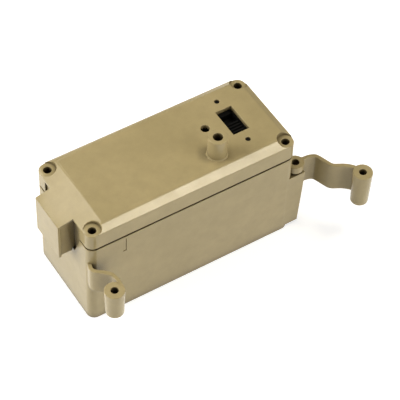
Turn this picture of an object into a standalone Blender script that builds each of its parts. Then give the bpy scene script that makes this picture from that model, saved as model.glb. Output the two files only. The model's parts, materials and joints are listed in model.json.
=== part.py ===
"""Radio box of a model car: a moulded case and lid that hold a battery pack, a receiver and a slide switch.

Metres, +Z up. The origin is on the underside of the case, below the middle of the four lid screw holes.
X runs along the box, towards the switch, and Y across it, away from the two mounting arms.
"""

import math

import bmesh
import bpy
from mathutils import Matrix, Vector

MM = 0.001

# Clearances
SEAT = 0.3 * MM  # between pieces that rest on or beside each other
SLIDE = 0.35 * MM  # round the sliding knob
PACK_GAP = 1.0 * MM  # between the battery and the screw bosses
PACK_SIDE_GAP = 1.25 * MM  # between the battery and the side walls
RECEIVER_GAP = 0.8 * MM  # between the receiver and the divider
RECEIVER_SIDE_GAP = 1.25 * MM  # between the receiver and the side walls

# Lid screws, at the corners of the case
SCREW_PITCH_X = 79.0 * MM
CORNER_R = 3.1 * MM  # outside radius of the box corners, round each screw
BOSS_R = 3.3 * MM  # screw boss inside each corner
PILOT_R = 1.25 * MM
PILOT_DEPTH = 14.0 * MM
SCREW_HOLE_R = 1.5 * MM
POCKET_R = 3.2 * MM  # round pocket in the lid, open at the outer corner
POCKET_WALL = 1.1 * MM

# Case
CASE_H = 39.0 * MM
WALL = 2.0 * MM
FLOOR = 2.0 * MM
FOOT_BEVEL = 0.5 * MM
DIVIDER = 1.4 * MM
DIVIDER_H = 17.0 * MM
GROOVE_INSET = 14.2 * MM  # of the upright groove in the front wall from the end with the hood
GROOVE_DROP = 0.8 * MM  # of its upper end below the rim
GROOVE_SIZE = (1.3 * MM, 0.2 * MM, 6.6 * MM)

# Cable outlet in the end wall
OUTLET_TOP = 24.0 * MM  # width at the rim
OUTLET_FOOT = 16.4 * MM  # width at the sill
OUTLET_DEPTH = 9.2 * MM  # of the sill below the rim
OUTLET_SLOT = 4.6 * MM  # height left open for the cables, inside the hood

# Lid
SEAM = 0.9 * MM
SKIRT = 7.2 * MM
CHAMFER_DROP = 1.5 * MM
FRONT_CHAMFER_RUN = 3.7 * MM
BACK_CHAMFER_RUN = 2.5 * MM
END_CHAMFER_RUN = 2.9 * MM
ROOF = 2.0 * MM
POCKET_FLOOR = 6.8 * MM  # above the lower edge of the lid
SLOPE_INSET = 7.5 * MM  # of the line where the roof starts to fall from the end with the hood
HOOD_REACH = 6.0 * MM  # of the hood past the end wall
HOOD_W = 15.9 * MM
HOOD_LOW = 1.2 * MM  # of the hood's foot below the sill of the cable outlet
HOOD_DROP = 3.5 * MM  # fall of the roof from SLOPE_X to the end of the hood
HOOD_WALL = 1.1 * MM
HOOD_ROOF = 1.1 * MM
HOOD_SIDE_INSET = 0.6 * MM  # of the hood's side walls behind the edges of its roof and end wall
HOOD_SIDE_RISE = 0.3 * MM  # of their feet above the foot of the end wall
APRON_SETBACK = 0.8 * MM  # of the apron from the end wall
APRON_T = 1.0 * MM
APRON_ROOT = 1.0 * MM  # by which the apron runs into the skirt

# Switch window and the holes beside it
WINDOW_INSET = 14.8 * MM  # of its middle from the end of the box
WINDOW_Y = 1.2 * MM
WINDOW_SIZE = (6.6 * MM, 12.2 * MM)
SWITCH_PITCH = 20.7 * MM
SWITCH_HOLE_R = 0.95 * MM
WIRE_FROM_WINDOW = (-10.5 * MM, 1.5 * MM)
WIRE_R = 1.65 * MM

# Aerial post
POST_FROM_WINDOW = (-13.2 * MM, -10.7 * MM)
POST_H = 9.0 * MM
POST_R = 3.6 * MM
POST_FOOT_R = 4.0 * MM
POST_FOOT_H = 0.6 * MM
POST_BORE_R = 1.8 * MM
POST_BORE_DEPTH = 8.0 * MM

# Mounting arms
ARM_DROP = 6.8 * MM  # of the arms below the rim of the case
ARM_T = 1.5 * MM
ARM_LIP = 0.2 * MM  # of a screw post above its arm
FOOT_R = 3.7 * MM
FOOT_DRAFT = 0.4 * MM  # by which a post is thinner at its lower end
FOOT_HOLE_R = 1.4 * MM
LEFT_REACH = (-0.8 * MM, -16.35 * MM)  # of the left post from the nearest lid screw
LEFT_FOOT_H = 12.0 * MM
LEFT_ARM_H = 11.0 * MM
LEFT_FROM_FOOT = [(2.8, 0.5), (3.3, 2.6), (3.2, 4.4), (2.8, 6.4), (1.2, 8.4)]  # millimetres, from its post
LEFT_FROM_CORNER = [(-2.4, -5.55), (-3.0, -3.85), (-2.1, -1.15), (-0.8, 0.45)]  # and from the lid screw
RIGHT_REACH = (18.5 * MM, -16.35 * MM)  # of the right post from the lug
RIGHT_FOOT_H = 15.4 * MM
RIGHT_ARM_H = 12.8 * MM
RIGHT_FROM_FOOT = [(0.0, 1.2), (-0.8, 3.2), (-2.0, 4.8), (-4.1, 6.5), (-7.3, 8.4)]
RIGHT_FROM_LUG = [(10.0, -5.4), (8.8, -2.05), (7.7, -0.65), (5.0, 0.15), (0.0, 0.0)]
LUG_OUT = 5.5 * MM  # of the third screw from the lid screw beside the right arm
LUG_R = 3.3 * MM
LUG_H = 3.0 * MM
LUG_GAP = 1.3 * MM  # between the lug and the pillar below it
PILLAR_LOW = 1.5 * MM  # height of its foot above the underside of the case
PILLAR_SETBACK = 0.12 * MM  # from the front wall
PILLAR_D = 6.0 * MM
PILLAR_REACH = 5.2 * MM  # of the pillar's top past the end wall
PILLAR_FOOT = 3.7 * MM  # of its foot, likewise

# Lid seal
SEAL_T = 0.5 * MM
SEAL_INSET = 0.5 * MM

# Switch
SWITCH_BODY = (10.0 * MM, 26.0 * MM, 8.5 * MM)
SWITCH_PEG_R = 0.7 * MM
SWITCH_PEG_SINK = 0.5 * MM  # of a peg's tip below the top of the lid
SWITCH_PEG_ROOT = 1.0 * MM
KNOB = (5.0 * MM, 4.6 * MM)
KNOB_SINK = 1.8 * MM
KNOB_TRAVEL = 4.0 * MM
KNOB_CHANNEL_DEPTH = 2.6 * MM
KNOB_RIBS = 3
TERMINAL = (0.6 * MM, 2.0 * MM, 4.2 * MM)
TERMINAL_ROWS = 2
TERMINAL_COLUMNS = 3
TERMINAL_PITCH = (5.0 * MM, 7.0 * MM)
TERMINAL_ROOT = 1.4 * MM

# Battery: five cells, three below and two above
CELL_R = 8.5 * MM
CELL_L = 28.0 * MM
CELL_STACK = 60  # degrees from the lower row to a cell of the upper
CELL_RIM = 0.8 * MM
CELL_RIM_W = 1.3 * MM
CELL_BUTTON_R = 3.0 * MM
CELL_BUTTON_H = 0.7 * MM
LINK_T = 0.3 * MM
LINK_W = 5.0 * MM
LINK_TIP = 0.1  # of the way between two cells, left off at either end of a link
CARD_T = 0.6 * MM

# Foam
PACK_FOAM = 1.5 * MM
RECEIVER_FOAM = 2.5 * MM

# Receiver
RECEIVER_W = 15.0 * MM
RECEIVER_H = 23.0 * MM
RECEIVER_WALL = 1.2 * MM
RECEIVER_SPLIT = 14.0 * MM  # height of its lower half
BOARD_T = 1.6 * MM
BOARD_MARGIN = 1.0 * MM
HEADER = (8.0 * MM, 17.0 * MM, 8.6 * MM)
HEADER_WALL = 1.0 * MM
HEADER_SLOTS = 5
CRYSTAL = (4.0 * MM, 6.0 * MM, 9.0 * MM)

# Facets
CORNER_STEPS = 8
ROUND = 32
SMALL_ROUND = 20
FLAT = math.radians(0.5)  # faces that meet at less than this are one flat face
TOUCH = 1e-6  # points nearer than this are one point

# Derived sizes
HALF_X = SCREW_PITCH_X / 2 + CORNER_R
HALF_Y = CELL_L / 2 + LINK_T + CARD_T + 2 * SEAT + PACK_SIDE_GAP + WALL
SCREW_PITCH_Y = 2 * (HALF_Y - CORNER_R)
LID_Z = CASE_H + SEAM
CHAMFER_Z = LID_Z + SKIRT
TOP_Z = CHAMFER_Z + CHAMFER_DROP
CEILING_Z = TOP_Z - ROOF
GROOVE_X = -HALF_X + GROOVE_INSET
SLOPE_X = -HALF_X + SLOPE_INSET
WINDOW_X = HALF_X - WINDOW_INSET
WIRE = (WINDOW_X + WIRE_FROM_WINDOW[0], WINDOW_Y + WIRE_FROM_WINDOW[1])
POST = (WINDOW_X + POST_FROM_WINDOW[0], WINDOW_Y + POST_FROM_WINDOW[1])
SCREWS = [(sx * SCREW_PITCH_X / 2, sy * SCREW_PITCH_Y / 2) for sx in (-1, 1) for sy in (-1, 1)]
CUT = 5 * MM  # how far a cutter stands past what it cuts
OVERLAP = 1 * MM  # how far a cutter or a joined piece runs into its neighbour
ARM_TOP = CASE_H - ARM_DROP
LEFT_CORNER = (-SCREW_PITCH_X / 2, -SCREW_PITCH_Y / 2)
LEFT_FOOT = (LEFT_CORNER[0] + LEFT_REACH[0], LEFT_CORNER[1] + LEFT_REACH[1])
LUG = (SCREW_PITCH_X / 2 + LUG_OUT, -SCREW_PITCH_Y / 2)
RIGHT_FOOT = (LUG[0] + RIGHT_REACH[0], LUG[1] + RIGHT_REACH[1])
PILLAR_TOP = ARM_TOP - LUG_H - LUG_GAP
OUTLET_SILL = CASE_H - OUTLET_DEPTH
HOOD_X = -HALF_X - HOOD_REACH
HOOD_FOOT = OUTLET_SILL - HOOD_LOW
HOOD_SIDE = HOOD_W / 2 - HOOD_SIDE_INSET  # outer face of the hood's side walls
FALL = math.atan2(HOOD_DROP, SLOPE_X - HOOD_X)  # angle of the falling end of the roof
CELL_PITCH = 2 * CELL_R + SEAT
PACK_X = -SCREW_PITCH_X / 2 + BOSS_R + PACK_GAP
PACK_FLOOR = FLOOR + SEAT + PACK_FOAM + SEAT
DIVIDER_X = PACK_X + 2 * CELL_PITCH + 2 * CELL_R + 2 * SEAT
RECEIVER_X = DIVIDER_X + DIVIDER + RECEIVER_GAP
RECEIVER = (RECEIVER_W, 2 * (HALF_Y - WALL - RECEIVER_SIDE_GAP), RECEIVER_H)
RECEIVER_FLOOR = FLOOR + SEAT + RECEIVER_FOAM + SEAT
UPRIGHT = Matrix.Rotation(math.radians(90), 4, "X")  # turns an outline in x and z to face along Y
ACROSS = Matrix(((0, 0, 1, 0), (1, 0, 0, 0), (0, 1, 0, 0), (0, 0, 0, 1)))  # likewise y and z along X


def clear_scene():
    for obj in list(bpy.data.objects):
        bpy.data.objects.remove(obj, do_unlink=True)


def new_collection(name):
    collection = bpy.data.collections.new(name)
    bpy.context.scene.collection.children.link(collection)
    return collection


def material(name, colour, roughness, metallic=0.0):
    made = bpy.data.materials.new(name)
    made.use_nodes = True
    shader = made.node_tree.nodes["Principled BSDF"]
    shader.inputs["Base Color"].default_value = (*colour, 1.0)
    shader.inputs["Roughness"].default_value = roughness
    shader.inputs["Metallic"].default_value = metallic
    made.diffuse_color = (*colour, 1.0)
    return made


clear_scene()
PARTS = new_collection("radio_box")
CUTTERS = new_collection("cutters")
TAN = material("tan_plastic", (0.40, 0.33, 0.19), 0.5)
SEAL_RUBBER = material("seal_rubber", (0.02, 0.018, 0.015), 0.8)
BLACK = material("black_plastic", (0.015, 0.015, 0.016), 0.4)
TIN = material("tinned_brass", (0.75, 0.72, 0.66), 0.3, 1.0)
SLEEVE = material("cell_sleeve", (0.03, 0.05, 0.14), 0.35)
CARD = material("fibre_card", (0.08, 0.07, 0.06), 0.8)
FOAM = material("grey_foam", (0.10, 0.10, 0.11), 0.95)
SMOKE = material("receiver_case", (0.03, 0.03, 0.035), 0.3)
BOARD = material("circuit_board", (0.02, 0.16, 0.06), 0.45)


def link_mesh(name, mesh, collection=PARTS):
    obj = bpy.data.objects.new(name, mesh)
    collection.objects.link(obj)
    return obj


def from_bmesh(name, form):
    mesh = bpy.data.meshes.new(name)
    form.to_mesh(mesh)
    form.free()
    return link_mesh(name, mesh)


def box(name, low, high):
    """A box between two corners."""
    size = Vector(high) - Vector(low)
    middle = (Vector(high) + Vector(low)) / 2
    form = bmesh.new()
    bmesh.ops.create_cube(form, size=1.0, matrix=Matrix.Translation(middle) @ Matrix.Diagonal((*size, 1.0)))
    return from_bmesh(name, form)


def cylinder(name, place, low, high, radius, top_radius=None, segments=ROUND):
    """An upright cylinder or cone about a plan point."""
    form = bmesh.new()
    bmesh.ops.create_cone(
        form,
        cap_ends=True,
        segments=segments,
        radius1=radius,
        radius2=radius if top_radius is None else top_radius,
        depth=high - low,
        matrix=Matrix.Translation((*place, (low + high) / 2)),
    )
    return from_bmesh(name, form)


def prism(name, outline, low, high, turn=None):
    """A plan outline drawn as a filled 2D curve and extruded from low to high, then turned if asked."""
    curve = bpy.data.curves.new(name, "CURVE")
    curve.dimensions = "2D"
    curve.fill_mode = "BOTH"
    curve.extrude = (high - low) / 2
    spline = curve.splines.new("POLY")
    spline.points.add(len(outline) - 1)
    for point, (x, y) in zip(spline.points, outline):
        point.co = (x, y, 0.0, 1.0)
    spline.use_cyclic_u = True
    drawn = bpy.data.objects.new(name + "_curve", curve)
    bpy.context.scene.collection.objects.link(drawn)
    bpy.context.view_layer.update()
    mesh = bpy.data.meshes.new_from_object(drawn.evaluated_get(bpy.context.evaluated_depsgraph_get()))
    bpy.data.objects.remove(drawn, do_unlink=True)
    form = bmesh.new()
    form.from_mesh(mesh)
    bpy.data.meshes.remove(mesh)
    bmesh.ops.remove_doubles(form, verts=form.verts, dist=TOUCH)
    bmesh.ops.dissolve_limit(form, angle_limit=FLAT, verts=form.verts, edges=form.edges)
    bmesh.ops.recalc_face_normals(form, faces=form.faces)
    shift = Matrix.Translation((0, 0, (low + high) / 2))
    bmesh.ops.transform(form, matrix=(turn or Matrix()) @ shift, verts=form.verts)
    return from_bmesh(name, form)


def turned(name, profile):
    """A shape turned about Z from its profile, which runs down its outer side."""
    form = bmesh.new()
    points = [form.verts.new((r, 0.0, z)) for r, z in profile]
    for a, b in zip(points, points[1:]):
        form.edges.new((a, b))
    obj = from_bmesh(name, form)
    screw = obj.modifiers.new("turned", "SCREW")
    screw.steps = screw.render_steps = ROUND
    screw.use_merge_vertices = True
    screw.merge_threshold = TOUCH
    return obj


def arc(centre, radius, start, end, steps=CORNER_STEPS):
    """Points on an arc, with the angles in degrees."""
    found = []
    for i in range(steps + 1):
        angle = math.radians(start + (end - start) * i / steps)
        found.append((centre[0] + radius * math.cos(angle), centre[1] + radius * math.sin(angle)))
    return found


def box_outline(inset=0.0):
    """The rounded plan of the box, drawn in from its outer face."""
    x, y = SCREW_PITCH_X / 2, SCREW_PITCH_Y / 2
    corners = [((x, y), 0), ((-x, y), 90), ((-x, -y), 180), ((x, -y), 270)]
    return [p for centre, a in corners for p in arc(centre, CORNER_R - inset, a, a + 90)]


def cavity_outline(wall, boss):
    """The inside plan, whose corners go round the screw bosses."""
    x, y = SCREW_PITCH_X / 2, SCREW_PITCH_Y / 2
    lean = math.degrees(math.asin((CORNER_R - wall) / boss))
    corners = [((x, y), 270 + lean), ((-x, y), 360 + lean), ((-x, -y), 90 + lean), ((x, -y), 180 + lean)]
    return [p for centre, a in corners for p in arc(centre, boss, a, a - 90 - 2 * lean)]


def boolean(obj, operation, tool):
    """Joins a tool to an object or cuts it out, and keeps the tool as a hidden helper."""
    modifier = obj.modifiers.new(tool.name, "BOOLEAN")
    modifier.operation = operation
    modifier.solver = "EXACT"
    modifier.object = tool
    tool.hide_render = True
    tool.display_type = "WIRE"
    PARTS.objects.unlink(tool)
    CUTTERS.objects.link(tool)


def cut(obj, *tools):
    for tool in tools:
        boolean(obj, "DIFFERENCE", tool)


def join(obj, *tools):
    for tool in tools:
        boolean(obj, "UNION", tool)


def finish(obj, look, angle=35):
    """Gives a piece its material and smooth shading on its round faces."""
    obj.data.materials.clear()
    obj.data.materials.append(look)
    obj.data.shade_smooth()
    obj.data.set_sharp_from_angle(angle=math.radians(angle))
    return obj


def place_origin(obj, point):
    """Moves the origin of a piece to a point and leaves its shape where it is."""
    obj.data.transform(Matrix.Translation(-Vector(point)))
    obj.location = point


def bevel_edges(obj, wanted, width, segments=3):
    """Rounds the edges whose two ends pass a test."""
    form = bmesh.new()
    form.from_mesh(obj.data)
    edges = [e for e in form.edges if all(wanted(v.co) for v in e.verts)]
    bmesh.ops.bevel(form, geom=edges, offset=width, segments=segments, profile=0.5, affect="EDGES")
    form.to_mesh(obj.data)
    form.free()


def smooth_path(points, steps=5):
    """A smooth plan curve through hand-set points."""
    ends = [points[0], *points, points[-1]]
    path = []
    for a, b, c, d in zip(ends, ends[1:], ends[2:], ends[3:]):
        for i in range(steps):
            t = i / steps
            weights = (
                -0.5 * t + t * t - 0.5 * t**3,
                1 - 2.5 * t * t + 1.5 * t**3,
                0.5 * t + 2 * t * t - 1.5 * t**3,
                -0.5 * t * t + 0.5 * t**3,
            )
            path.append(tuple(sum(w * p[k] for w, p in zip(weights, (a, b, c, d))) for k in (0, 1)))
    return path + [points[-1]]


def ribbon(path, thickness):
    """The plan outline of a strip of even thickness along a path."""
    left, right = [], []
    for i, point in enumerate(path):
        before, after = path[max(i - 1, 0)], path[min(i + 1, len(path) - 1)]
        along = Vector((after[0] - before[0], after[1] - before[1])).normalized() * thickness / 2
        left.append((point[0] - along.y, point[1] + along.x))
        right.append((point[0] + along.y, point[1] - along.x))
    return right + left[::-1]


# Case with its arms
def arm(name, foot, from_foot, root, from_root, height):
    """An S-shaped strip on edge, through points set out from its post and from its root on the case."""
    points = [(foot[0] + dx * MM, foot[1] + dy * MM) for dx, dy in from_foot]
    points += [(root[0] + dx * MM, root[1] + dy * MM) for dx, dy in from_root]
    return prism(name, ribbon(smooth_path(points), ARM_T), ARM_TOP - height, ARM_TOP - ARM_LIP)


def screw_post(name, place, height, radius, draft):
    """An upright screw post below the level of the arms, and the cutter for its hole."""
    foot = ARM_TOP - height
    post = cylinder(name, place, foot, ARM_TOP, radius - draft, radius)
    hole = cylinder(name + "_hole", place, foot - CUT, ARM_TOP + CUT, FOOT_HOLE_R, segments=SMALL_ROUND)
    return post, hole


def corner_pillar():
    """The upright block below the third screw, wider at its top."""
    side = [
        (HALF_X - CORNER_R, PILLAR_LOW),
        (HALF_X + PILLAR_FOOT, PILLAR_LOW),
        (HALF_X + PILLAR_REACH, PILLAR_TOP),
        (HALF_X - CORNER_R, PILLAR_TOP),
    ]
    front = HALF_Y - PILLAR_SETBACK
    return prism("corner_pillar", side, front - PILLAR_D, front, turn=UPRIGHT)


def case_cavity():
    """The inside of the case, with the divider between battery and receiver left standing."""
    cavity = prism("case_cavity", cavity_outline(WALL, BOSS_R), FLOOR, CASE_H + CUT)
    divider_low = (DIVIDER_X, -HALF_Y, FLOOR - OVERLAP)
    cut(cavity, box("divider_gap", divider_low, (DIVIDER_X + DIVIDER, HALF_Y, FLOOR + DIVIDER_H)))
    return cavity


def outlet_half(z):
    """Half the width of the cable outlet at a height between its sill and the rim."""
    return (OUTLET_FOOT + (OUTLET_TOP - OUTLET_FOOT) * (z - OUTLET_SILL) / OUTLET_DEPTH) / 2


def cable_outlet():
    """The notch in the end wall, wider at the rim."""
    side = [
        (-outlet_half(OUTLET_SILL), OUTLET_SILL),
        (outlet_half(OUTLET_SILL), OUTLET_SILL),
        (outlet_half(CASE_H), CASE_H),
        (outlet_half(CASE_H), CASE_H + CUT),
        (-outlet_half(CASE_H), CASE_H + CUT),
        (-outlet_half(CASE_H), CASE_H),
    ]
    return prism("cable_outlet", side, -HALF_X - CUT, -HALF_X + WALL + OVERLAP, turn=ACROSS)


def front_groove():
    wide, deep, tall = GROOVE_SIZE
    high = CASE_H - GROOVE_DROP
    low_corner = (GROOVE_X - wide / 2, -HALF_Y - CUT, high - tall)
    return box("front_groove", low_corner, (GROOVE_X + wide / 2, -HALF_Y + deep, high))


def make_case():
    case = prism("lower_case", box_outline(), 0.0, CASE_H)
    bevel_edges(case, lambda co: co.z < TOUCH, FOOT_BEVEL)
    left_arm = arm("left_arm", LEFT_FOOT, LEFT_FROM_FOOT, LEFT_CORNER, LEFT_FROM_CORNER, LEFT_ARM_H)
    right_arm = arm("right_arm", RIGHT_FOOT, RIGHT_FROM_FOOT, LUG, RIGHT_FROM_LUG, RIGHT_ARM_H)
    left_post, left_hole = screw_post("left_post", LEFT_FOOT, LEFT_FOOT_H, FOOT_R, FOOT_DRAFT)
    right_post, right_hole = screw_post("right_post", RIGHT_FOOT, RIGHT_FOOT_H, FOOT_R, FOOT_DRAFT)
    lug_post, lug_hole = screw_post("corner_lug", LUG, LUG_H, LUG_R, 0.0)
    join(case, corner_pillar(), lug_post, left_post, right_post, left_arm, right_arm)
    cut(case, case_cavity(), cable_outlet(), front_groove(), left_hole, right_hole, lug_hole)
    for i, place in enumerate(SCREWS):
        low = CASE_H - PILOT_DEPTH
        cut(case, cylinder(f"pilot_{i}", place, low, CASE_H + CUT, PILOT_R, segments=SMALL_ROUND))
    return finish(case, TAN)


# Lid
def roof_height(x, inset=0.0):
    """Height of the falling end of the roof at a place along the box, or of its underside."""
    return TOP_Z - (SLOPE_X - x) * math.tan(FALL) - inset / math.cos(FALL)


def above_fall(name, inset=0.0):
    """All that lies above the falling end of the roof, or above its underside."""
    far = HOOD_X - CUT
    near = SLOPE_X + CUT
    side = [(far, roof_height(far, inset)), (near, roof_height(near, inset)), (far, roof_height(near, inset))]
    return prism(name, side, -HALF_Y - CUT, HALF_Y + CUT, turn=UPRIGHT)


def chamfer_side(run, half):
    """The part of a section that a chamfer takes away, as points out from the middle and up."""
    slope = CHAMFER_DROP / run
    return [
        (half + CUT, CHAMFER_Z - CUT * slope),
        (half + CUT, TOP_Z + CUT * slope),
        (half - run - CUT, TOP_Z + CUT * slope),
    ]


def make_hood():
    """The block in front of the cable outlet that becomes the hood's roof and its end wall."""
    high = roof_height(-HALF_X + WALL)
    return box("hood", (HOOD_X, -HOOD_W / 2, HOOD_FOOT), (-HALF_X + WALL / 2, HOOD_W / 2, high))


def hood_hollow():
    """What is taken out below the hood's roof, and out of the end of the lid behind it."""
    inner = -HALF_X + WALL + OVERLAP
    outer = HOOD_X + HOOD_WALL
    side = [
        (outer, HOOD_FOOT - CUT),
        (inner, HOOD_FOOT - CUT),
        (inner, roof_height(inner, HOOD_ROOF)),
        (outer, roof_height(outer, HOOD_ROOF)),
    ]
    return prism("hood_hollow", side, -OUTLET_TOP / 2, OUTLET_TOP / 2, turn=UPRIGHT)


def hood_side(name, side):
    """A side wall of the hood, from its end wall to the apron, with its foot clear of the case."""
    outer = HOOD_X + HOOD_WALL / 2
    inner = -HALF_X + APRON_SETBACK + APRON_T / 2
    clear = -HALF_X - SEAT
    foot = HOOD_FOOT + HOOD_SIDE_RISE
    sill = OUTLET_SILL + 2 * SEAT
    profile = [
        (outer, foot),
        (clear, foot),
        (clear, sill),
        (inner, sill),
        (inner, roof_height(inner, HOOD_ROOF / 2)),
        (outer, roof_height(outer, HOOD_ROOF / 2)),
    ]
    low = HOOD_SIDE - HOOD_WALL if side < 0 else -HOOD_SIDE
    return prism(name, profile, low, low + HOOD_WALL, turn=UPRIGHT)


def make_apron():
    """The plate of the lid that fills the cable outlet, with a slot for the cables inside the hood."""
    face = -HALF_X + APRON_SETBACK
    low = OUTLET_SILL + SEAT
    high = roof_height(face + APRON_T, HOOD_ROOF / 2)
    slot = HOOD_SIDE - HOOD_WALL / 2
    side = []
    for half, z in (
        (slot, OUTLET_SILL + OUTLET_SLOT),
        (slot, low),
        (outlet_half(low) - SEAT, low),
        (outlet_half(CASE_H) - SEAT, CASE_H),
        (outlet_half(CASE_H) - SEAT, LID_Z + APRON_ROOT),
        (outlet_half(CASE_H) + APRON_ROOT, LID_Z + 2 * APRON_ROOT),
        (outlet_half(CASE_H) + APRON_ROOT, high),
    ):
        side.append((half, z))
        side.insert(0, (-half, z))
    return prism("apron", side, face, face + APRON_T, turn=ACROSS)


def aerial_post():
    """The post that holds the aerial tube, with a flared foot."""
    high = TOP_Z + POST_H
    root = TOP_Z - ROOF / 2
    profile = [
        (0.0, high),
        (POST_R, high),
        (POST_R, TOP_Z + POST_FOOT_H),
        (POST_FOOT_R, TOP_Z),
        (POST_FOOT_R, root),
        (0.0, root),
    ]
    post = turned("aerial_post", profile)
    post.location = (*POST, 0.0)
    low = high - POST_BORE_DEPTH
    bore = cylinder("aerial_bore", POST, low, high + CUT, POST_BORE_R, segments=SMALL_ROUND)
    return post, bore


def make_lid():
    lid = prism("lid", box_outline(), LID_Z, TOP_Z)
    join(lid, make_hood())
    length = HALF_X + 2 * CUT
    back = chamfer_side(BACK_CHAMFER_RUN, HALF_Y)
    front = [(-y, z) for y, z in reversed(chamfer_side(FRONT_CHAMFER_RUN, HALF_Y))]
    end = chamfer_side(END_CHAMFER_RUN, HALF_X)
    cut(
        lid,
        above_fall("lid_fall"),
        prism("back_chamfer", back, -length, length, turn=ACROSS),
        prism("front_chamfer", front, -length, length, turn=ACROSS),
        prism("end_chamfer", end, -length, length, turn=UPRIGHT),
    )
    post, bore = aerial_post()
    join(lid, post)
    hollow = prism("lid_hollow", cavity_outline(WALL, POCKET_R + POCKET_WALL), LID_Z - CUT, CEILING_Z)
    cut(hollow, above_fall("hollow_fall", ROOF))
    cut(lid, hollow, hood_hollow(), bore)
    join(lid, make_apron(), hood_side("hood_front_side", -1), hood_side("hood_back_side", 1))
    for i, place in enumerate(SCREWS):
        cut(lid, cylinder(f"pocket_{i}", place, LID_Z + POCKET_FLOOR, TOP_Z + CUT, POCKET_R))
        cut(lid, cylinder(f"screw_hole_{i}", place, LID_Z - CUT, TOP_Z, SCREW_HOLE_R, segments=SMALL_ROUND))
    low = CEILING_Z - CUT
    high = TOP_Z + CUT
    wide, long = WINDOW_SIZE
    window_low = (WINDOW_X - wide / 2, WINDOW_Y - long / 2, low)
    window_high = (WINDOW_X + wide / 2, WINDOW_Y + long / 2, high)
    cut(lid, box("switch_window", window_low, window_high))
    for i, place in enumerate(switch_pegs()):
        cut(lid, cylinder(f"switch_hole_{i}", place, low, high, SWITCH_HOLE_R, segments=SMALL_ROUND))
    cut(lid, cylinder("wire_hole", WIRE, low, high, WIRE_R, segments=SMALL_ROUND))
    place_origin(lid, (0.0, 0.0, LID_Z))
    return finish(lid, TAN)


def make_seal():
    """A flat gasket on the rim, with an eye at each screw and a gap at the cable outlet."""
    low = CASE_H + (SEAM - SEAL_T) / 2
    seal = prism("lid_seal", box_outline(SEAL_INSET), low, low + SEAL_T)
    cut(seal, prism("seal_hollow", cavity_outline(WALL, BOSS_R), low - CUT, low + CUT))
    gap = OUTLET_TOP / 2
    gap_high = (-HALF_X + WALL + OVERLAP, gap, low + CUT)
    cut(seal, box("seal_gap", (-HALF_X - CUT, -gap, low - CUT), gap_high))
    for i, place in enumerate(SCREWS):
        eye = cylinder(f"seal_eye_{i}", place, low - CUT, low + CUT, SCREW_HOLE_R, segments=SMALL_ROUND)
        cut(seal, eye)
    return finish(seal, SEAL_RUBBER)


# Switch
def switch_pegs():
    return [(WINDOW_X, WINDOW_Y + side * SWITCH_PITCH / 2) for side in (-1, 1)]


def make_switch():
    """The switch body hangs below the lid on two pegs, with its knob in the window."""
    wide, long, tall = SWITCH_BODY
    top = CEILING_Z - SEAT
    low = (WINDOW_X - wide / 2, WINDOW_Y - long / 2, top - tall)
    body = box("switch_body", low, (WINDOW_X + wide / 2, WINDOW_Y + long / 2, top))
    for i, place in enumerate(switch_pegs()):
        tip = TOP_Z - SWITCH_PEG_SINK
        root = top - SWITCH_PEG_ROOT
        join(body, cylinder(f"switch_peg_{i}", place, root, tip, SWITCH_PEG_R, segments=SMALL_ROUND))
    knob_x, knob_y = KNOB
    channel_x = knob_x / 2 + SLIDE
    channel_y = (knob_y + KNOB_TRAVEL) / 2 + SLIDE
    channel_low = (WINDOW_X - channel_x, WINDOW_Y - channel_y, top - KNOB_CHANNEL_DEPTH)
    cut(body, box("knob_channel", channel_low, (WINDOW_X + channel_x, WINDOW_Y + channel_y, top + CUT)))
    make_terminals(body, top - tall)
    finish(body, BLACK)
    make_knob(top - KNOB_CHANNEL_DEPTH + SLIDE)


def make_terminals(body, foot):
    """Solder tags in two rows, each let into the foot of the switch body."""
    wide, long, tall = TERMINAL
    for row in range(TERMINAL_ROWS):
        for column in range(TERMINAL_COLUMNS):
            x = WINDOW_X + (row - (TERMINAL_ROWS - 1) / 2) * TERMINAL_PITCH[0]
            y = WINDOW_Y + (column - (TERMINAL_COLUMNS - 1) / 2) * TERMINAL_PITCH[1]
            number = row * TERMINAL_COLUMNS + column + 1
            top = foot + TERMINAL_ROOT
            low = (x - wide / 2, y - long / 2, top - SEAT - tall)
            tag = box(f"switch_terminal_{number}", low, (x + wide / 2, y + long / 2, top - SEAT))
            socket_low = (x - wide / 2 - SEAT, y - long / 2 - SEAT, foot - CUT)
            socket_high = (x + wide / 2 + SEAT, y + long / 2 + SEAT, top)
            cut(body, box(f"terminal_socket_{number}", socket_low, socket_high))
            finish(tag, TIN)


def make_knob(foot):
    """The sliding knob, at the end of its travel that is nearest the front."""
    wide, long = KNOB
    y = WINDOW_Y - KNOB_TRAVEL / 2
    top = TOP_Z - KNOB_SINK
    knob_low = (WINDOW_X - wide / 2, y - long / 2, foot)
    knob = box("switch_slider", knob_low, (WINDOW_X + wide / 2, y + long / 2, top))
    groove = long / (2 * KNOB_RIBS + 1)
    for i in range(KNOB_RIBS):
        start = y - long / 2 + (2 * i + 1) * groove
        low = (WINDOW_X - wide, start, top - groove)
        cut(knob, box(f"knob_groove_{i}", low, (WINDOW_X + wide, start + groove, top + CUT)))
    place_origin(knob, (WINDOW_X, y, foot))
    finish(knob, BLACK)


# Battery
def cell_places():
    """The centres of the cells, in x and z: three in the lower row and two in the upper."""
    lower = [(PACK_X + CELL_R + i * CELL_PITCH, PACK_FLOOR + CELL_R) for i in range(3)]
    lean = CELL_PITCH * math.cos(math.radians(CELL_STACK))
    rise = CELL_PITCH * math.sin(math.radians(CELL_STACK))
    upper = [(lower[i][0] + lean, lower[i][1] + rise) for i in (1, 0)]
    return lower + upper


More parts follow.
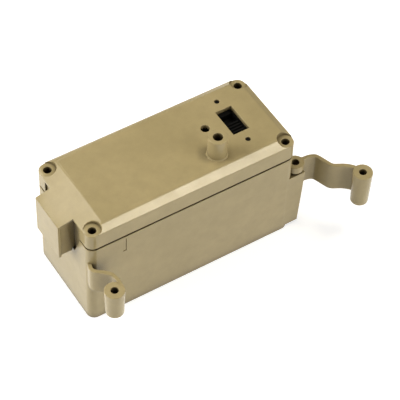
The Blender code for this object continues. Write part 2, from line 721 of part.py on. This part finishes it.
def make_cell(number, place):
    """A cell turned from its profile, with the button end towards the front or the back by turns."""
    half = CELL_L / 2
    rim = CELL_R - CELL_RIM_W
    profile = [
        (0.0, half - CELL_RIM + CELL_BUTTON_H),
        (CELL_BUTTON_R, half - CELL_RIM + CELL_BUTTON_H),
        (CELL_BUTTON_R, half - CELL_RIM),
        (rim, half - CELL_RIM),
        (rim, half),
        (CELL_R - CELL_RIM / 2, half),
        (CELL_R, half - CELL_RIM / 2),
        (CELL_R, CELL_RIM / 2 - half),
        (CELL_R - CELL_RIM / 2, -half),
        (0.0, -half),
    ]
    cell = turned(f"battery_cell_{number}", profile)
    cell.rotation_euler = (math.radians(90 if number % 2 else -90), 0.0, 0.0)
    cell.location = (place[0], 0.0, place[1])
    finish(cell, SLEEVE)


def make_link(number, start, end, side):
    """A welded strip between two neighbouring cells, on the front or the back of the pack."""
    along = Vector((end[0] - start[0], end[1] - start[1]))
    square = Vector((-along.y, along.x)).normalized() * LINK_W / 2
    first = Vector(start) + along * LINK_TIP
    last = Vector(end) - along * LINK_TIP
    outline = [tuple(p) for p in (first - square, last - square, last + square, first + square)]
    near = CELL_L / 2 + SEAT
    low = -near - LINK_T if side > 0 else near
    link = prism(f"battery_link_{number}", outline, low, low + LINK_T, turn=UPRIGHT)
    finish(link, TIN)


def make_card(name, side):
    """An insulating card on one end of the pack, cut to the outline of the five cells."""
    cells = cell_places()
    left = 90 + CELL_STACK
    right = 90 - CELL_STACK
    hull = arc(cells[0], CELL_R, left, 270) + arc(cells[2], CELL_R, 270, 360 + right)
    hull += arc(cells[3], CELL_R, right, 90) + arc(cells[4], CELL_R, 90, left)
    near = CELL_L / 2 + LINK_T + 2 * SEAT
    low = -near - CARD_T if side > 0 else near
    finish(prism(name, hull, low, low + CARD_T, turn=UPRIGHT), CARD)


def make_battery():
    cells = cell_places()
    for i, place in enumerate(cells):
        make_cell(i + 1, place)
    for i, (start, end) in enumerate(zip(cells, cells[1:])):
        make_link(i + 1, start, end, 1 if i % 2 else -1)
    make_card("battery_card_front", -1)
    make_card("battery_card_back", 1)
    last = cells[2][0] + CELL_R
    pad_low = (PACK_X, -CELL_L / 2, FLOOR + SEAT)
    pad = box("battery_foam_pad", pad_low, (last, CELL_L / 2, FLOOR + SEAT + PACK_FOAM))
    finish(pad, FOAM)


# Receiver
def receiver_half(name, low, high, open_up):
    """One half of the receiver's case, hollow towards the other half."""
    wide, long, _ = RECEIVER
    shell = box(name, (RECEIVER_X, -long / 2, low), (RECEIVER_X + wide, long / 2, high))
    bevel_edges_of_box(shell)
    wall = RECEIVER_WALL
    inner_low = low + wall if open_up else low - CUT
    inner_high = high + CUT if open_up else high - wall
    hollow_low = (RECEIVER_X + wall, -long / 2 + wall, inner_low)
    cut(shell, box(name + "_hollow", hollow_low, (RECEIVER_X + wide - wall, long / 2 - wall, inner_high)))
    return shell


def bevel_edges_of_box(obj):
    """Rounds the four upright edges of a box."""
    form = bmesh.new()
    form.from_mesh(obj.data)
    upright = [e for e in form.edges if abs(e.verts[0].co.z - e.verts[1].co.z) > TOUCH]
    bmesh.ops.bevel(form, geom=upright, offset=RECEIVER_WALL, segments=3, profile=0.5, affect="EDGES")
    form.to_mesh(obj.data)
    form.free()


def make_receiver():
    """The receiver: a board with its plug header and crystal, in a two-part case on a foam pad."""
    wide, long, tall = RECEIVER
    split = RECEIVER_FLOOR + RECEIVER_SPLIT
    top = RECEIVER_FLOOR + tall
    base = receiver_half("receiver_base", RECEIVER_FLOOR, split, True)
    cover = receiver_half("receiver_cover", split + SEAT, top, False)
    inner = RECEIVER_WALL + SEAT
    board_top = split - SEAT
    board_low = (RECEIVER_X + inner, -long / 2 + inner, board_top - BOARD_T)
    board = box("receiver_board", board_low, (RECEIVER_X + wide - inner, long / 2 - inner, board_top))
    middle = RECEIVER_X + wide / 2
    foot = board_top + SEAT
    header_y = -long / 2 + inner + BOARD_MARGIN
    header_low = (middle - HEADER[0] / 2, header_y, foot)
    header_high = (middle + HEADER[0] / 2, header_y + HEADER[1], foot + HEADER[2])
    header = box("receiver_header", header_low, header_high)
    slot = HEADER[1] / (2 * HEADER_SLOTS + 1)
    for i in range(HEADER_SLOTS):
        start = header_y + (2 * i + 1) * slot
        slot_low = (header_low[0] + HEADER_WALL, start, foot + HEADER[2] / 2)
        slot_high = (header_high[0] - HEADER_WALL, start + slot, foot + HEADER[2] + CUT)
        cut(header, box(f"header_slot_{i}", slot_low, slot_high))
    crystal_y = long / 2 - inner - BOARD_MARGIN - CRYSTAL[1]
    crystal_low = (middle - CRYSTAL[0] / 2, crystal_y, foot)
    crystal_high = (middle + CRYSTAL[0] / 2, crystal_y + CRYSTAL[1], foot + CRYSTAL[2])
    crystal = box("receiver_crystal", crystal_low, crystal_high)
    gap = Vector((SEAT, SEAT, 0.0))
    ways = (("header_way", header_low, header_high), ("crystal_way", crystal_low, crystal_high))
    for name, low, high in ways:
        way_high = Vector((high[0], high[1], top + CUT))
        cut(cover, box(name, Vector(low) - gap, way_high + gap))
    pad_low = (RECEIVER_X, -long / 2, FLOOR + SEAT)
    pad = box("receiver_foam_pad", pad_low, (RECEIVER_X + wide, long / 2, FLOOR + SEAT + RECEIVER_FOAM))
    for piece in (base, cover):
        finish(piece, SMOKE)
    for piece, look in ((board, BOARD), (header, BLACK), (crystal, TIN), (pad, FOAM)):
        finish(piece, look)


make_case()
make_lid()
make_seal()
make_switch()
make_battery()
make_receiver()
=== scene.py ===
"""Looks of the radio box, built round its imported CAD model. Metres, in the frame of the CAD."""

import json
import math

import bmesh
import bpy
from mathutils import Matrix, Vector, geometry
from mathutils.bvhtree import BVHTree


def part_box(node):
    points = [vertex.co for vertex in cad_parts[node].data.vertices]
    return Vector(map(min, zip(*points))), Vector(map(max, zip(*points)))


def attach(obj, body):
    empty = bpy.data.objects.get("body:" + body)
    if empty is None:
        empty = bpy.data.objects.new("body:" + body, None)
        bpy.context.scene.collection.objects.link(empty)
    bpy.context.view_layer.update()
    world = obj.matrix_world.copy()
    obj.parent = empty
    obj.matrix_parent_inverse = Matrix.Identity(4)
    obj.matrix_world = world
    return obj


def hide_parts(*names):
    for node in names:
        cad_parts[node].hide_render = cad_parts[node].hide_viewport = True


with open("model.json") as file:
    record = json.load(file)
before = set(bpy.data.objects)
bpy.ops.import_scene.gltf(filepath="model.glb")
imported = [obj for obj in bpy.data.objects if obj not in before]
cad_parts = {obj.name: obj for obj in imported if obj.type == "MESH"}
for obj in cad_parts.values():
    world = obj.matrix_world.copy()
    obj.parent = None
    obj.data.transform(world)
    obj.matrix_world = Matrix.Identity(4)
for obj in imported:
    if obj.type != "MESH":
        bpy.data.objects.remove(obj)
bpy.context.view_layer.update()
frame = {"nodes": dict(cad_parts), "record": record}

MM = 0.001
NODES = frame["nodes"]
BODIES = frame["record"]["behaviour"]["bodies"]
SLOTS = {part["node"]: part["material_slot"] for part in frame["record"]["subparts"]}
SCENE = bpy.context.scene


def put(name, data):
    """A new object in the scene."""
    obj = bpy.data.objects.new(name, data)
    SCENE.collection.objects.link(obj)
    return obj


def mesh_from(form, name):
    """A mesh of a form, which is used up."""
    mesh = bpy.data.meshes.new(name)
    form.to_mesh(mesh)
    form.free()
    return mesh


# Camera
AZIMUTH = math.radians(-34.05)
ELEVATION = math.radians(50.64)
ROLL = math.radians(2.65)
TARGET = Vector((10.33, -6.45, 22.36)) * MM
DISTANCE = 654.1 * MM
LENS = 162.4
SENSOR = 36.0
NEAREST = 0.01


def make_camera():
    back = Vector(
        (
            math.sin(AZIMUTH) * math.cos(ELEVATION),
            -math.cos(AZIMUTH) * math.cos(ELEVATION),
            math.sin(ELEVATION),
        )
    )
    level = Vector((math.cos(AZIMUTH), math.sin(AZIMUTH), 0.0))
    upright = back.cross(level)
    right = level * math.cos(ROLL) + upright * math.sin(ROLL)
    up = upright * math.cos(ROLL) - level * math.sin(ROLL)
    data = bpy.data.cameras.new("camera")
    data.lens = LENS
    data.sensor_width = SENSOR
    data.clip_start = NEAREST
    camera = put("camera", data)
    place = Matrix((right, up, back)).transposed().to_4x4()
    place.translation = TARGET + back * DISTANCE
    camera.matrix_world = place
    SCENE.camera = camera


# Colours, most of them as pairs of a darker and a lighter shade
TAN = (0.388, 0.312, 0.154), (0.442, 0.354, 0.181)
TAN_CLOUD = (0.330, 0.266, 0.134)
TAN_SPECK = (0.45, 0.37, 0.22)
# Painted shade: a dark brown mixed into the tan where corners, creases and holes hem the surface in
CORNER_SHADE_TINT = (0.040, 0.026, 0.011)
RUBBER = (0.016, 0.014, 0.012), (0.030, 0.027, 0.022)
BLACK = (0.003, 0.003, 0.003), (0.006, 0.006, 0.006)
SMOKE_GREY = (0.020, 0.020, 0.024), (0.036, 0.036, 0.042)
TIN = (0.60, 0.57, 0.52), (0.82, 0.80, 0.75)
SLEEVE_BLUE = (0.020, 0.038, 0.120), (0.034, 0.060, 0.170)
NICKEL = (0.50, 0.49, 0.46), (0.66, 0.65, 0.62)
CARD_BROWN = (0.055, 0.047, 0.038), (0.115, 0.100, 0.082)
# The darker foam shade is painted shade inside the pores
FOAM_GREY = (0.030, 0.030, 0.034), (0.125, 0.125, 0.135)
LACQUER = (0.014, 0.120, 0.045), (0.024, 0.175, 0.070)
TRACK = (0.060, 0.240, 0.090)

# Grain and gloss of the materials, and the painted shade in their corners
MIDDLE = (0.3, 0.7)  # range in which most values of a noise lie
GRAIN = 2600.0  # noise features a metre
GRAIN_DEPTH = 0.06 * MM
ROUGH_SPREAD = 0.06
TAN_GLOSS = 0.42
# How far, and with how many rays, the painted corner shade looks for nearby surfaces
CORNER_SHADE_REACH = 7.0 * MM
CORNER_SHADE_RAYS = 8
PORES = 1500.0  # foam cells a metre
ALONG_X = (0.2, 1.0, 1.0)  # scales that draw a noise out along one axis
ALONG_Y = (1.0, 0.15, 1.0)
ALONG_Z = (1.0, 1.0, 0.1)

# Sockets of a Mix node that mixes colours
MIX_FACTOR, MIX_FIRST, MIX_SECOND, MIX_RESULT = 0, 6, 7, 2


# Node materials
class Look:
    """A material whose nodes are added one by one."""

    def __init__(self, name):
        self.material = bpy.data.materials.new(name)
        self.material.use_nodes = True
        self.tree = self.material.node_tree
        self.shader = self.tree.nodes["Principled BSDF"]
        self.point = self.add("ShaderNodeTexCoord").outputs["Object"]
        self.normal = None

    def add(self, kind, **settings):
        node = self.tree.nodes.new(kind)
        for key, value in settings.items():
            setattr(node, key, value)
        return node

    def link(self, out, into):
        self.tree.links.new(out, into)

    def noise(self, scale, detail=2.0, roughness=0.5, stretch=None):
        """Noise at so many features a metre, drawn out along an axis if asked."""
        node = self.add("ShaderNodeTexNoise")
        node.inputs["Scale"].default_value = scale
        node.inputs["Detail"].default_value = detail
        node.inputs["Roughness"].default_value = roughness
        source = self.point
        if stretch:
            mapping = self.add("ShaderNodeMapping")
            mapping.inputs["Scale"].default_value = stretch
            self.link(self.point, mapping.inputs["Vector"])
            source = mapping.outputs["Vector"]
        self.link(source, node.inputs["Vector"])
        return node.outputs["Fac"]

    def ramp(self, value, source, target=(0.0, 1.0)):
        """A value carried over from one range to another."""
        node = self.add("ShaderNodeMapRange")
        for key, number in zip(("From Min", "From Max", "To Min", "To Max"), (*source, *target)):
            node.inputs[key].default_value = number
        self.link(value, node.inputs["Value"])
        return node.outputs["Result"]

    def mix(self, factor, first, second):
        """Two colours mixed; each is a colour or the output of a node."""
        node = self.add("ShaderNodeMix", data_type="RGBA")
        self.link(factor, node.inputs[MIX_FACTOR])
        for key, value in ((MIX_FIRST, first), (MIX_SECOND, second)):
            if isinstance(value, bpy.types.NodeSocket):
                self.link(value, node.inputs[key])
            else:
                node.inputs[key].default_value = (*value, 1.0)
        return node.outputs[MIX_RESULT]

    def gloss(self, level):
        self.shader.inputs["Specular IOR Level"].default_value = level

    def colour(self, out):
        self.link(out, self.shader.inputs["Base Color"])

    def rough(self, out):
        self.link(out, self.shader.inputs["Roughness"])

    def bump(self, height, strength, depth):
        """Adds a layer of relief on top of those before it."""
        node = self.add("ShaderNodeBump")
        node.inputs["Strength"].default_value = strength
        node.inputs["Distance"].default_value = depth
        self.link(height, node.inputs["Height"])
        if self.normal:
            self.link(self.normal, node.inputs["Normal"])
        self.normal = node.outputs["Normal"]
        self.link(self.normal, self.shader.inputs["Normal"])


def tan_plastic():
    """Moulded nylon: flow marks, clouds, pale specks, a fine grain and painted shade in the corners."""
    look = Look("tan_plastic")
    look.gloss(TAN_GLOSS)
    flow = look.ramp(look.noise(38.0, detail=3.0, roughness=0.55), MIDDLE)
    base = look.mix(flow, *TAN)
    cloud = look.ramp(look.noise(230.0, detail=4.0, roughness=0.65), (0.35, 0.70), (0.0, 0.42))
    base = look.mix(cloud, base, TAN_CLOUD)
    speck = look.ramp(look.noise(1500.0, roughness=0.6), (0.62, 0.78), (0.0, 0.35))
    base = look.mix(speck, base, TAN_SPECK)
    # Painted shade: the colour darkens to dark brown where ambient occlusion is high, in corners, creases,
    # holes and recesses
    corner = look.add("ShaderNodeAmbientOcclusion", samples=CORNER_SHADE_RAYS)
    corner.inputs["Distance"].default_value = CORNER_SHADE_REACH
    painted_shade = look.ramp(corner.outputs["AO"], (0.20, 0.80), (0.95, 0.0))
    look.colour(look.mix(painted_shade, base, CORNER_SHADE_TINT))
    look.rough(look.ramp(look.noise(220.0, detail=3.0, roughness=0.6), MIDDLE, (0.20, 0.26)))
    look.bump(look.noise(GRAIN), strength=0.10, depth=GRAIN_DEPTH)
    look.bump(look.noise(70.0, detail=1.0, roughness=0.4), strength=0.10, depth=0.25 * MM)
    return look.material


def plain_plastic(name, shades, rough, grain, gloss=0.5):
    """A moulded plastic with a cloudy tint and a fine grain."""
    look = Look(name)
    look.gloss(gloss)
    look.colour(look.mix(look.ramp(look.noise(90.0, detail=3.0), MIDDLE), *shades))
    spread = (rough - ROUGH_SPREAD, rough + ROUGH_SPREAD)
    look.rough(look.ramp(look.noise(300.0, detail=3.0), MIDDLE, spread))
    look.bump(look.noise(GRAIN), strength=grain, depth=GRAIN_DEPTH)
    return look.material


def tinned_metal():
    """Tinned strip, with marks drawn out along its height."""
    look = Look("tinned_metal")
    look.shader.inputs["Metallic"].default_value = 1.0
    look.colour(look.mix(look.noise(160.0, detail=3.0), *TIN))
    look.rough(look.ramp(look.noise(900.0, stretch=ALONG_Z), MIDDLE, (0.22, 0.42)))
    look.bump(look.noise(1800.0, stretch=ALONG_Z), strength=0.12, depth=0.04 * MM)
    return look.material


def cell_sleeve():
    """Shrink sleeve on the round of a cell, and bare nickel on its flat ends."""
    look = Look("cell_sleeve")
    parts = look.add("ShaderNodeSeparateXYZ")
    look.link(look.add("ShaderNodeNewGeometry").outputs["Normal"], parts.inputs["Vector"])
    endwise = look.add("ShaderNodeMath", operation="ABSOLUTE")
    look.link(parts.outputs["Y"], endwise.inputs[0])
    bare = look.ramp(endwise.outputs["Value"], (0.86, 0.92))
    sleeve = look.mix(look.noise(60.0, detail=3.0), *SLEEVE_BLUE)
    nickel = look.mix(look.noise(260.0, detail=3.0), *NICKEL)
    look.colour(look.mix(bare, sleeve, nickel))
    look.link(bare, look.shader.inputs["Metallic"])
    look.rough(look.ramp(look.noise(180.0, detail=3.0), MIDDLE, (0.24, 0.38)))
    look.bump(look.noise(240.0, stretch=ALONG_Y), strength=0.18, depth=0.12 * MM)
    return look.material


def fibre_card():
    """Pressed card, with fibres that run along it."""
    look = Look("fibre_card")
    fibre = look.noise(420.0, detail=4.0, roughness=0.7, stretch=ALONG_X)
    look.colour(look.mix(look.ramp(fibre, (0.35, 0.65)), *CARD_BROWN))
    look.rough(look.ramp(fibre, MIDDLE, (0.70, 0.88)))
    look.bump(fibre, strength=0.25, depth=0.06 * MM)
    return look.material


def grey_foam():
    """Open foam: dark pores between paler walls, the dark of the pores being painted shade inside them."""
    look = Look("grey_foam")
    pores = look.add("ShaderNodeTexVoronoi")
    pores.inputs["Scale"].default_value = PORES
    look.link(look.point, pores.inputs["Vector"])
    # Painted shade: the colour darkens towards the middle of each pore
    wall = look.ramp(pores.outputs["Distance"], (0.1, 0.6))
    look.colour(look.mix(wall, *FOAM_GREY))
    look.rough(look.ramp(wall, (0.0, 1.0), (0.98, 0.88)))
    look.bump(wall, strength=0.6, depth=0.25 * MM)
    return look.material


def circuit_board():
    """Green lacquer over copper tracks that run across each other."""
    look = Look("circuit_board")
    tracks = look.add("ShaderNodeTexBrick")
    pattern = {"Scale": 260.0, "Mortar Size": 0.09, "Brick Width": 1.4, "Row Height": 0.5}
    for key, number in pattern.items():
        tracks.inputs[key].default_value = number
    look.link(look.point, tracks.inputs["Vector"])
    copper = tracks.outputs["Fac"]
    green = look.mix(look.noise(140.0, detail=3.0), *LACQUER)
    look.colour(look.mix(copper, green, TRACK))
    look.rough(look.ramp(look.noise(400.0), MIDDLE, (0.34, 0.48)))
    look.bump(copper, strength=0.3, depth=0.05 * MM)
    return look.material


LOOKS = {
    "tan_plastic": tan_plastic(),
    "seal_rubber": plain_plastic("seal_rubber", RUBBER, rough=0.78, grain=0.30),
    "black_plastic": plain_plastic("black_plastic", BLACK, rough=0.70, grain=0.12, gloss=0.15),
    "tinned_metal": tinned_metal(),
    "cell_sleeve": cell_sleeve(),
    "fibre_card": fibre_card(),
    "grey_foam": grey_foam(),
    "receiver_case": plain_plastic("receiver_case", SMOKE_GREY, rough=0.30, grain=0.10),
    "circuit_board": circuit_board(),
}


def dress(obj, slot):
    obj.data.materials.clear()
    obj.data.materials.append(LOOKS[slot])


def body_of(node):
    return next(name for name, members in BODIES.items() if node in members)


def stand_in(node, name, mesh):
    """A dressed piece that takes the place of a CAD solid and moves with its body."""
    piece = put(name, mesh)
    dress(piece, SLOTS[node])
    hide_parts(node)
    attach(piece, body_of(node))
    return piece


# Mouldings with rounded edges
EDGE_R = 0.25 * MM
EDGE_STEPS = 3
EDGE_ANGLE = math.radians(28)
EDGE_PROFILE = 0.5  # round
SAME = 0.001 * MM
FLAT = math.radians(0.6)
SHORT = 0.06 * MM
ACROSS = 0.5  # sine of the angle from which one edge lies across another
ONE_END = 0.9  # share of the room that a rounding may take where the far side stays sharp
BOTH_ENDS = 0.45  # the same where both sides are rounded
FOLDED = -0.85  # cosine between the normals of two faces that lie on each other
REACH = 1.6 * EDGE_R


def room_beside(edge, vert, outer):
    """Room for the rounding of an edge at one of its ends, along the edges that lie across it."""
    along = (edge.other_vert(vert).co - vert.co).normalized()
    room = math.inf
    for other in vert.link_edges:
        far = other.other_vert(vert)
        width = (far.co - vert.co).cross(along).length
        if other is edge or width < ACROSS * other.calc_length():
            continue
        crowded = any(third in outer for third in far.link_edges if third is not other)
        room = min(room, width * (BOTH_ENDS if crowded else ONE_END))
    return room


def cuts(face, other):
    """Points where the edges of one triangle go through another."""
    corners = [vert.co for vert in other.verts]
    for edge in face.edges:
        start, end = (vert.co for vert in edge.verts)
        point = geometry.intersect_ray_tri(*corners, end - start, start, True)
        if point is not None and (point - start).length <= (end - start).length:
            yield point


def flaws(form):
    """Points where faces of a closed mesh go through each other or are folded back."""
    net = form.copy()
    bmesh.ops.triangulate(net, faces=net.faces)
    net.normal_update()
    net.faces.ensure_lookup_table()
    tree = BVHTree.FromBMesh(net)
    points = []
    for first, second in tree.overlap(tree):
        face, other = net.faces[first], net.faces[second]
        if first < second and not set(face.verts) & set(other.verts):
            small = min(face, other, key=lambda triangle: triangle.calc_area())
            points += [*cuts(face, other), *cuts(other, face)] or [small.calc_center_median()]
    for edge in net.edges:
        face, other = edge.link_faces
        if face.normal.dot(other.normal) < FOLDED:
            points.append((edge.verts[0].co + edge.verts[1].co) / 2)
    net.free()
    return points


def beside(edge, point):
    """Whether a point lies close enough to an edge for its rounding to be the cause."""
    start, end = (vert.co for vert in edge.verts)
    share = geometry.intersect_point_line(point, start, end)[1]
    return (start.lerp(end, min(1.0, max(0.0, share))) - point).length < REACH


def rounded(form):
    """The form with its outer edges rounded; edges where that would spoil the mesh stay sharp."""
    form.normal_update()
    form.edges.index_update()
    form.edges.ensure_lookup_table()
    sharp = {edge for edge in form.edges if edge.calc_face_angle(0.0) > EDGE_ANGLE}
    outer = {edge for edge in sharp if edge.is_convex}
    roomy = {edge for edge in outer if min(room_beside(edge, vert, outer) for vert in edge.verts) > EDGE_R}
    chosen = {edge.index for edge in roomy}
    while True:
        for edge in form.edges:
            edge.smooth = edge not in sharp or edge.index in chosen
        trial = form.copy()
        trial.edges.ensure_lookup_table()
        bmesh.ops.bevel(
            trial,
            geom=[trial.edges[index] for index in sorted(chosen)],
            offset=EDGE_R,
            offset_type="OFFSET",
            segments=EDGE_STEPS,
            profile=EDGE_PROFILE,
            affect="EDGES",
            clamp_overlap=False,
        )
        trial.normal_update()
        points = flaws(trial)
        spoilt = {index for index in chosen if any(beside(form.edges[index], point) for point in points)}
        if not spoilt:
            return trial
        chosen -= spoilt
        trial.free()


def moulded(node, name):
    """Stands for a CAD solid with the same shape and softly rounded edges."""
    form = bmesh.new()
    form.from_mesh(NODES[node].data)
    bmesh.ops.remove_doubles(form, verts=form.verts, dist=SAME)
    bmesh.ops.dissolve_limit(form, angle_limit=FLAT, verts=form.verts, edges=form.edges)
    bmesh.ops.dissolve_degenerate(form, edges=form.edges, dist=SHORT)
    soft = rounded(form)
    form.free()
    for face in soft.faces:
        face.smooth = True
    piece = stand_in(node, name, mesh_from(soft, name))
    weighted = piece.modifiers.new("weighted normals", "WEIGHTED_NORMAL")
    weighted.keep_sharp = True


# Foam pads
PAD_CELLS = 14
PAD_CROWN = 0.35 * MM
PAD_SIDE = 0.49  # half the width of a unit cube, less a little
PAD_WAVES = (9.0, 4.0)  # radians of the dents in the top over the length and width


def side_of(share):
    """-1 or 1 on the two sides of a unit cube, and 0 between them."""
    return math.copysign(1.0, share) if abs(share) > PAD_SIDE else 0.0


def foam_pad(node, name):
    """A cut pad that bulges a little at its sides and is dented on top by the weight on it."""
    low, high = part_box(node)
    size = high - low
    middle = (low + high) / 2
    form = bmesh.new()
    bmesh.ops.create_cube(form, size=1.0)
    bmesh.ops.subdivide_edges(form, edges=form.edges, cuts=PAD_CELLS, use_grid_fill=True)
    for vert in form.verts:
        x, y, z = vert.co
        pull = PAD_CROWN * (2.0 * z) ** 2
        wave = math.cos(PAD_WAVES[0] * x + PAD_WAVES[1] * y)
        dent = PAD_CROWN * (0.5 + 0.5 * wave) * max(z, 0.0)
        place = Vector((x * size.x, y * size.y, z * size.z))
        vert.co = middle + place - Vector((side_of(x) * pull, side_of(y) * pull, dent))
    mesh = mesh_from(form, name)
    mesh.shade_smooth()
    pad = stand_in(node, name, mesh)


# Floor, background and light
FLOOR_SIZE = 8.0
FLOOR_TINT = (0.72, 0.72, 0.72, 1.0)
FLOOR_GLOW = 0.62
WHITE = (1.0, 1.0, 1.0, 1.0)
AMBIENT = 0.08
LAMPS = [
    # name, direction, distance, size, watts, colour, seen in gloss
    ("left_back", (-0.80, 0.40, 0.45), 1.0, 1.00, 11.0, (1.0, 0.99, 0.96), False),
    ("overhead", (0.345, -0.16, 0.925), 2.5, 0.64, 18.0, (1.0, 0.93, 0.77), True),
    ("back_top", (-0.07, 0.53, 0.85), 2.5, 0.80, 9.5, (1.0, 0.94, 0.82), True),
    ("front_right", (0.47, -0.80, 0.38), 1.0, 1.00, 6.2, (1.0, 0.99, 0.96), False),
]


def seen_by(tree, first, second):
    """1 for two kinds of ray and 0 for the others."""
    rays = tree.nodes.new("ShaderNodeLightPath")
    either = tree.nodes.new("ShaderNodeMath")
    either.operation = "MAXIMUM"
    tree.links.new(rays.outputs[first], either.inputs[0])
    tree.links.new(rays.outputs[second], either.inputs[1])
    return either.outputs["Value"]


def floor_look():
    """Pale grey that takes the shadow, made white by a glow for the camera and for reflections."""
    material = bpy.data.materials.new("floor")
    material.use_nodes = True
    tree = material.node_tree
    tree.nodes.remove(tree.nodes["Principled BSDF"])
    diffuse = tree.nodes.new("ShaderNodeBsdfDiffuse")
    diffuse.inputs["Color"].default_value = FLOOR_TINT
    strength = tree.nodes.new("ShaderNodeMath")
    strength.operation = "MULTIPLY"
    strength.inputs[1].default_value = FLOOR_GLOW
    tree.links.new(seen_by(tree, "Is Camera Ray", "Is Glossy Ray"), strength.inputs[0])
    glow = tree.nodes.new("ShaderNodeEmission")
    tree.links.new(strength.outputs["Value"], glow.inputs["Strength"])
    total = tree.nodes.new("ShaderNodeAddShader")
    tree.links.new(diffuse.outputs["BSDF"], total.inputs[0])
    tree.links.new(glow.outputs["Emission"], total.inputs[1])
    tree.links.new(total.outputs["Shader"], tree.nodes["Material Output"].inputs["Surface"])
    return material


def make_floor():
    form = bmesh.new()
    bmesh.ops.create_grid(form, x_segments=1, y_segments=1, size=FLOOR_SIZE / 2)
    floor = put("floor", mesh_from(form, "floor"))
    floor.data.materials.append(floor_look())


def make_world():
    """Even pale light for the object, and white where the camera looks past or through it."""
    world = bpy.data.worlds.new("studio")
    SCENE.world = world
    world.use_nodes = True
    tree = world.node_tree
    back = tree.nodes["Background"]
    back.inputs["Color"].default_value = WHITE
    strength = tree.nodes.new("ShaderNodeMapRange")
    strength.inputs["To Min"].default_value = AMBIENT
    strength.inputs["To Max"].default_value = 1.0
    tree.links.new(seen_by(tree, "Is Camera Ray", "Is Transmission Ray"), strength.inputs["Value"])
    tree.links.new(strength.outputs["Result"], back.inputs["Strength"])


def make_lamps():
    for name, direction, distance, size, watts, colour, in_gloss in LAMPS:
        data = bpy.data.lights.new(name, "AREA")
        data.shape = "DISK"
        data.size = size
        data.energy = watts
        data.color = colour
        lamp = put(name, data)
        lamp.visible_glossy = in_gloss
        towards = Vector(direction).normalized()
        lamp.location = TARGET + towards * distance
        lamp.rotation_euler = towards.to_track_quat("Z", "Y").to_euler()


make_camera()
for node, obj in NODES.items():
    dress(obj, SLOTS[node])
moulded("lower_case", "case_moulding")
moulded("lid", "lid_moulding")
foam_pad("battery_foam_pad", "battery_foam")
foam_pad("receiver_foam_pad", "receiver_foam")
make_floor()
make_world()
make_lamps()
SCENE.view_settings.view_transform = "Standard"
